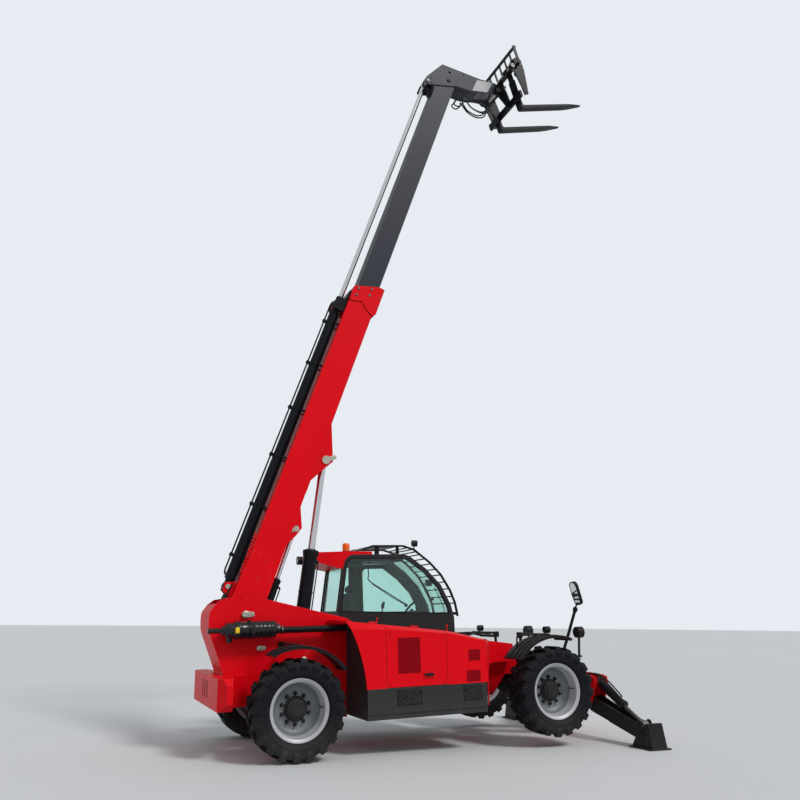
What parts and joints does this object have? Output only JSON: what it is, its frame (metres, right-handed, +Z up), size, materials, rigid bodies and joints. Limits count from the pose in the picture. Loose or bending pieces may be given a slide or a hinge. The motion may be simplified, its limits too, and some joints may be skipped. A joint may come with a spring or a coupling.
{
  "type": "telehandler",
  "caption": "Telescopic handler with pallet forks, standing on its front stabilisers with the boom raised and run out.",
  "frame": {"origin": "middle of the bounding box's base, on the ground", "axes": "+X forward along the machine, +Y to its left (cab side), +Z up; the chassis is tipped nose up by 1.97 degrees on its stabilisers"},
  "size_m": [5.776, 3.52, 10.7233],
  "materials": {
    "red_paint": "gloss",
    "dark_grey_paint": "satin",
    "black_paint": "satin",
    "charcoal_paint": "satin",
    "silver_paint": "satin",
    "light_grey_paint": "satin",
    "zinc": "satin",
    "rod_chrome": "polished",
    "cast": "satin",
    "tyre_rubber": "matte",
    "window": "polished",
    "black_plastic": "matte",
    "amber": "gloss",
    "seat_fabric": "matte",
    "pad_plastic": "satin"
  },
  "bodies": {
    "chassis": {"frame": "red_paint", "frame_pins": "zinc", "counterweight": "red_paint", "axles": "black_paint", "mudguards": "black_plastic", "engine": "cast", "engine_skirt": "charcoal_paint", "engine_cowl": "red_paint", "air_cleaner": "black_plastic", "cab_shell": "charcoal_paint", "cab_roof": "red_paint", "cab_glass": "window", "seat": "seat_fabric", "console": "black_plastic", "roof_guard": "black_paint", "beacon": "amber", "lamps": "black_plastic", "mirrors": "black_plastic", "fuel_tank": "black_paint"},
    "hood": {"hood": "red_paint"},
    "door": {"cab_door": "charcoal_paint", "door_glass": "window"},
    "boom": {"boom_outer": "red_paint", "boom_pads": "pad_plastic", "boom_pins": "zinc", "extension_barrel": "dark_grey_paint"},
    "boom_inner": {"boom_inner": "dark_grey_paint", "boom_head": "dark_grey_paint", "head_pins": "zinc", "extension_rod": "rod_chrome"},
    "carriage": {"carriage": "light_grey_paint", "fork_shaft": "zinc", "forks": "black_paint"},
    "lift_barrel": {"lift_barrel": "dark_grey_paint"},
    "lift_rod": {"lift_rod": "rod_chrome"},
    "comp_barrel": {"comp_barrel": "dark_grey_paint"},
    "comp_rod": {"comp_rod": "rod_chrome"},
    "tilt_barrel": {"tilt_barrel": "dark_grey_paint"},
    "tilt_rod": {"tilt_rod": "rod_chrome"},
    "knuckle_front_left": {"knuckle_front_left": "black_paint"},
    "wheel_front_left": {"tyre_front_left": "tyre_rubber", "rim_front_left": "silver_paint"},
    "knuckle_front_right": {"knuckle_front_right": "black_paint"},
    "wheel_front_right": {"tyre_front_right": "tyre_rubber", "rim_front_right": "silver_paint"},
    "knuckle_rear_left": {"knuckle_rear_left": "black_paint"},
    "wheel_rear_left": {"tyre_rear_left": "tyre_rubber", "rim_rear_left": "silver_paint"},
    "knuckle_rear_right": {"knuckle_rear_right": "black_paint"},
    "wheel_rear_right": {"tyre_rear_right": "tyre_rubber", "rim_rear_right": "silver_paint"},
    "leg_left": {"stabiliser_leg_left": "black_paint"},
    "foot_left": {"stabiliser_foot_left": "black_paint"},
    "ram_left_barrel": {"stabiliser_ram_barrel_left": "black_paint"},
    "ram_left_rod": {"stabiliser_ram_rod_left": "rod_chrome"},
    "leg_right": {"stabiliser_leg_right": "black_paint"},
    "foot_right": {"stabiliser_foot_right": "black_paint"},
    "ram_right_barrel": {"stabiliser_ram_barrel_right": "black_paint"},
    "ram_right_rod": {"stabiliser_ram_rod_right": "rod_chrome"}
  },
  "joints": [
    {"name": "boom_lift", "type": "hinge", "parent": "chassis", "child": "boom", "pos_m": [-2.43825, 0, 1.53395], "axis": [0, -1, 0], "range_deg": [-71.2, 2.3]},
    {"name": "boom_extend", "type": "slide", "parent": "boom", "child": "boom_inner", "axis": [0.3145, 0, 0.9492], "range_m": [-3.9, 0.05]},
    {"name": "carriage_tilt", "type": "hinge", "parent": "boom_inner", "child": "carriage", "pos_m": [1.34, 0, 10.09869], "axis": [0, 1, 0], "range_deg": [-65, 30]},
    {"name": "lift_barrel_turn", "type": "hinge", "parent": "chassis", "child": "lift_barrel", "pos_m": [-1.69979, 0, 1.00899], "axis": [0, -1, 0], "range_deg": [-76.46, 3.44]},
    {"name": "lift_rod_slide", "type": "slide", "parent": "lift_barrel", "child": "lift_rod", "axis": [0.1009, 0, 0.9949], "range_m": [-1.04901, 0.03776]},
    {"name": "comp_barrel_turn", "type": "hinge", "parent": "chassis", "child": "comp_barrel", "pos_m": [-2.24997, 0, 1.15019], "axis": [0, -1, 0], "range_deg": [-66.95, 3.13]},
    {"name": "comp_rod_slide", "type": "slide", "parent": "comp_barrel", "child": "comp_rod", "axis": [0.2973, 0, 0.9548], "range_m": [-0.48824, 0.01964]},
    {"name": "tilt_barrel_turn", "type": "hinge", "parent": "boom_inner", "child": "tilt_barrel", "pos_m": [0.43378, 0, 10.04244], "axis": [0, 1, 0], "range_deg": [-6.16, 3.38]},
    {"name": "tilt_rod_slide", "type": "slide", "parent": "tilt_barrel", "child": "tilt_rod", "axis": [0.9768, 0, 0.2141], "range_m": [-0.1956, 0.09243]},
    {"name": "leg_right", "type": "hinge", "parent": "chassis", "child": "leg_right", "pos_m": [2.3522, -0.5, 0.43774], "axis": [-0.9994, 0, -0.0343], "range_deg": [0, 80]},
    {"name": "foot_right", "type": "hinge", "parent": "leg_right", "child": "foot_right", "pos_m": [2.36157, -1.56, 0.1649], "axis": [-0.9994, 0, -0.0343], "range_deg": [-12, 12]},
    {"name": "ram_right_turn", "type": "hinge", "parent": "chassis", "child": "ram_right_barrel", "pos_m": [2.3431, -0.64, 0.70258], "axis": [-0.9994, 0, -0.0343], "range_deg": [-1, 101.64]},
    {"name": "ram_right_slide", "type": "slide", "parent": "ram_right_barrel", "child": "ram_right_rod", "axis": [0.0159, -0.8865, -0.4624], "range_m": [-0.25253, 0.004]},
    {"name": "leg_left", "type": "hinge", "parent": "chassis", "child": "leg_left", "pos_m": [2.3522, 0.5, 0.43774], "axis": [0.9994, 0, 0.0343], "range_deg": [0, 80]},
    {"name": "foot_left", "type": "hinge", "parent": "leg_left", "child": "foot_left", "pos_m": [2.36157, 1.56, 0.1649], "axis": [0.9994, 0, 0.0343], "range_deg": [-12, 12]},
    {"name": "ram_left_turn", "type": "hinge", "parent": "chassis", "child": "ram_left_barrel", "pos_m": [2.3431, 0.64, 0.70258], "axis": [0.9994, 0, 0.0343], "range_deg": [-1, 101.64]},
    {"name": "ram_left_slide", "type": "slide", "parent": "ram_left_barrel", "child": "ram_left_rod", "axis": [0.0159, 0.8865, -0.4624], "range_m": [-0.25253, 0.004]},
    {"name": "steer_front_right", "type": "hinge", "parent": "chassis", "child": "knuckle_front_right", "pos_m": [1.34445, -0.8, 0.64627], "axis": [-0.0343, 0, 0.9994], "range_deg": [-32, 32]},
    {"name": "wheel_front_right", "type": "hinge", "parent": "knuckle_front_right", "child": "wheel_front_right", "pos_m": [1.34445, -0.985, 0.64627], "axis": [0, 1, 0], "continuous": true},
    {"name": "steer_front_left", "type": "hinge", "parent": "chassis", "child": "knuckle_front_left", "pos_m": [1.34445, 0.8, 0.64627], "axis": [-0.0343, 0, 0.9994], "range_deg": [-32, 32]},
    {"name": "wheel_front_left", "type": "hinge", "parent": "knuckle_front_left", "child": "wheel_front_left", "pos_m": [1.34445, 0.985, 0.64627], "axis": [0, 1, 0], "continuous": true},
    {"name": "steer_rear_right", "type": "hinge", "parent": "chassis", "child": "knuckle_rear_right", "pos_m": [-1.95361, -0.8, 0.533], "axis": [-0.0343, 0, 0.9994], "range_deg": [-32, 32]},
    {"name": "wheel_rear_right", "type": "hinge", "parent": "knuckle_rear_right", "child": "wheel_rear_right", "pos_m": [-1.95361, -0.985, 0.533], "axis": [0, 1, 0], "continuous": true},
    {"name": "steer_rear_left", "type": "hinge", "parent": "chassis", "child": "knuckle_rear_left", "pos_m": [-1.95361, 0.8, 0.533], "axis": [-0.0343, 0, 0.9994], "range_deg": [-32, 32]},
    {"name": "wheel_rear_left", "type": "hinge", "parent": "knuckle_rear_left", "child": "wheel_rear_left", "pos_m": [-1.95361, 0.985, 0.533], "axis": [0, 1, 0], "continuous": true},
    {"name": "hood_open", "type": "hinge", "parent": "chassis", "child": "hood", "pos_m": [-0.93475, -0.363, 1.45766], "axis": [-0.9969, 0, 0.0791], "range_deg": [0, 65]},
    {"name": "door_open", "type": "hinge", "parent": "chassis", "child": "door", "pos_m": [-0.54365, 1.134, 1.54899], "axis": [-0.0343, 0, 0.9994], "range_deg": [0, 160]}
  ],
  "couplings": [
    {"joint": "lift_barrel_turn", "follows": "boom_lift", "ratio": 1.0599},
    {"joint": "lift_rod_slide", "follows": "boom_lift", "m_per_rad": 0.84093},
    {"joint": "comp_barrel_turn", "follows": "boom_lift", "ratio": 0.92628},
    {"joint": "comp_rod_slide", "follows": "boom_lift", "m_per_rad": 0.38968},
    {"joint": "tilt_barrel_turn", "follows": "carriage_tilt", "ratio": 0.079321},
    {"joint": "tilt_rod_slide", "follows": "carriage_tilt", "m_per_rad": 0.16889},
    {"joint": "ram_right_turn", "follows": "leg_right", "ratio": 1.258},
    {"joint": "ram_right_slide", "follows": "leg_right", "m_per_rad": -0.178},
    {"joint": "ram_left_turn", "follows": "leg_left", "ratio": 1.258},
    {"joint": "ram_left_slide", "follows": "leg_left", "m_per_rad": -0.178},
    {"joint": "steer_front_left", "follows": "steer_front_right", "ratio": 1},
    {"joint": "steer_rear_left", "follows": "steer_rear_right", "ratio": 1}
  ]
}
